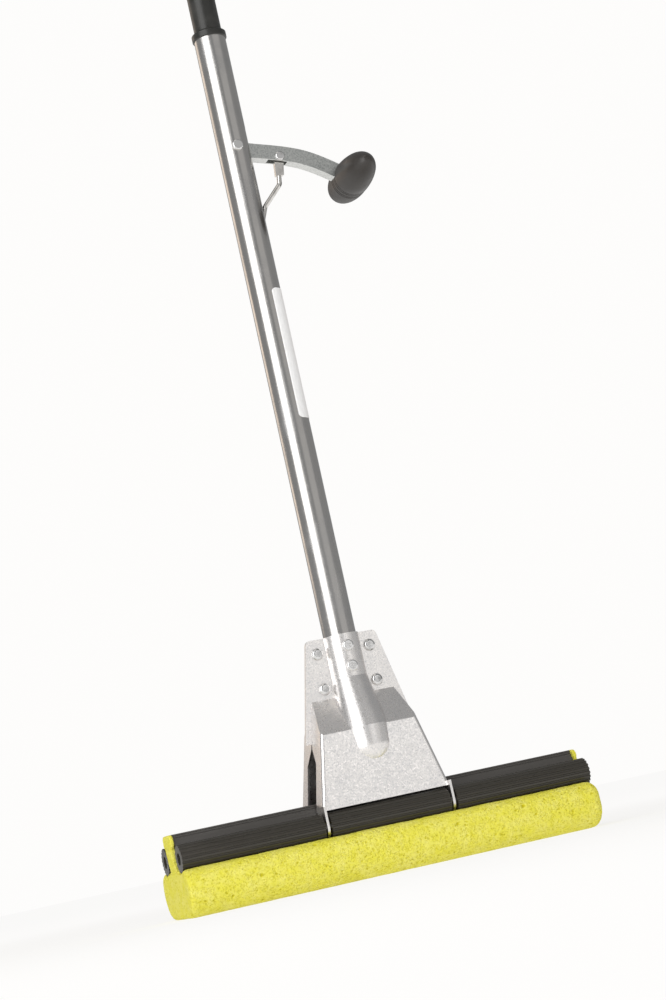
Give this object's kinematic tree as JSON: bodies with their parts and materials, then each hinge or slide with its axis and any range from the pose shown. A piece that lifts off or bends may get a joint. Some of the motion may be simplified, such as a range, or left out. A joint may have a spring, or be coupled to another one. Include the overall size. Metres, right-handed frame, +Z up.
{
  "type": "roller sponge mop",
  "caption": "Sponge mop with a steel tube handle and a side lever that draws the sponge up between two rows of fluted rollers.",
  "frame": {"origin": "middle of the sponge's underside, on the floor", "axes": "+Z up the handle, +X along the rollers towards the lever's side, -Y to the front"},
  "size_m": [0.286, 0.0765, 1.2105],
  "materials": {
    "polished_steel": "polished stainless tube with a fine lengthwise grain",
    "black_handle_plastic": "glossy black plastic",
    "label_white": "plain white adhesive label, no print",
    "zinc_sheet": "zinc-plated pressed sheet with a fine spangle",
    "zinc_fastener": "bright zinc-plated steel",
    "steel_wire": "drawn steel wire",
    "guide_plastic": "natural white plastic",
    "lever_steel": "zinc-plated pressed steel",
    "grip_plastic": "satin black plastic",
    "rod_steel": "plain steel rod",
    "carrier_plastic": "black moulded plastic",
    "roller_plastic": "fluted black plastic",
    "yellow_sponge": "open-pore yellow sponge"
  },
  "bodies": {
    "handle": {"steel_tube": "polished_steel", "upper_handle": "black_handle_plastic", "tube_collar": "black_handle_plastic", "end_cap": "black_handle_plastic", "tube_label": "label_white", "front_bracket": "zinc_sheet", "rear_bracket": "zinc_sheet", "bracket_rivets": "zinc_fastener", "tube_screws": "zinc_fastener", "front_axle": "steel_wire", "rear_axle": "steel_wire", "axle_retainers": "zinc_fastener", "rod_guide": "guide_plastic", "lever_pivot_pin": "zinc_fastener"},
    "lever": {"lever": "lever_steel", "link_pin": "zinc_fastener", "lever_grip_front": "grip_plastic", "lever_grip_rear": "grip_plastic", "grip_screw": "zinc_fastener"},
    "link": {"pull_link": "lever_steel"},
    "puller": {"pull_rod": "rod_steel", "rod_pin": "steel_wire", "carrier_yoke": "carrier_plastic", "yoke_screws": "zinc_fastener", "yoke_pin": "zinc_fastener", "sponge_carrier": "carrier_plastic", "sponge": "yellow_sponge"},
    "front_roller_left": {"front_roller_left": "roller_plastic"},
    "front_roller_middle": {"front_roller_middle": "roller_plastic"},
    "front_roller_right": {"front_roller_right": "roller_plastic"},
    "rear_roller_left": {"rear_roller_left": "roller_plastic"},
    "rear_roller_middle": {"rear_roller_middle": "roller_plastic"},
    "rear_roller_right": {"rear_roller_right": "roller_plastic"}
  },
  "joints": [
    {"name": "lever_pull", "type": "hinge", "parent": "handle", "child": "lever", "pos_m": [0, 0, 0.503], "axis": [0, -1, 0], "range_deg": [0, 45]},
    {"name": "link_swing", "type": "hinge", "parent": "lever", "child": "link", "pos_m": [0.0305, 0, 0.4943], "axis": [0, -1, 0], "range_deg": [-43.6, 0]},
    {"name": "sponge_draw", "type": "slide", "parent": "handle", "child": "puller", "axis": [0, 0, 1], "range_m": [0, 0.0236], "deforming": ["sponge"]},
    {"name": "front_roller_left_turn", "type": "hinge", "parent": "handle", "child": "front_roller_left", "pos_m": [0, -0.0202, 0.0374], "axis": [1, 0, 0], "continuous": true},
    {"name": "front_roller_middle_turn", "type": "hinge", "parent": "handle", "child": "front_roller_middle", "pos_m": [0, -0.0202, 0.0374], "axis": [1, 0, 0], "continuous": true},
    {"name": "front_roller_right_turn", "type": "hinge", "parent": "handle", "child": "front_roller_right", "pos_m": [0, -0.0202, 0.0374], "axis": [1, 0, 0], "continuous": true},
    {"name": "rear_roller_left_turn", "type": "hinge", "parent": "handle", "child": "rear_roller_left", "pos_m": [0, 0.0202, 0.0374], "axis": [1, 0, 0], "continuous": true},
    {"name": "rear_roller_middle_turn", "type": "hinge", "parent": "handle", "child": "rear_roller_middle", "pos_m": [0, 0.0202, 0.0374], "axis": [1, 0, 0], "continuous": true},
    {"name": "rear_roller_right_turn", "type": "hinge", "parent": "handle", "child": "rear_roller_right", "pos_m": [0, 0.0202, 0.0374], "axis": [1, 0, 0], "continuous": true}
  ],
  "couplings": [
    {"joint": "link_swing", "follows": "lever_pull", "ratio": -0.9667},
    {"joint": "sponge_draw", "follows": "lever_pull", "m_per_rad": 0.03},
    {"joint": "front_roller_left_turn", "follows": "lever_pull", "ratio": 3.3333},
    {"joint": "front_roller_middle_turn", "follows": "lever_pull", "ratio": 3.3333},
    {"joint": "front_roller_right_turn", "follows": "lever_pull", "ratio": 3.3333},
    {"joint": "rear_roller_left_turn", "follows": "lever_pull", "ratio": -3.3333},
    {"joint": "rear_roller_middle_turn", "follows": "lever_pull", "ratio": -3.3333},
    {"joint": "rear_roller_right_turn", "follows": "lever_pull", "ratio": -3.3333}
  ]
}
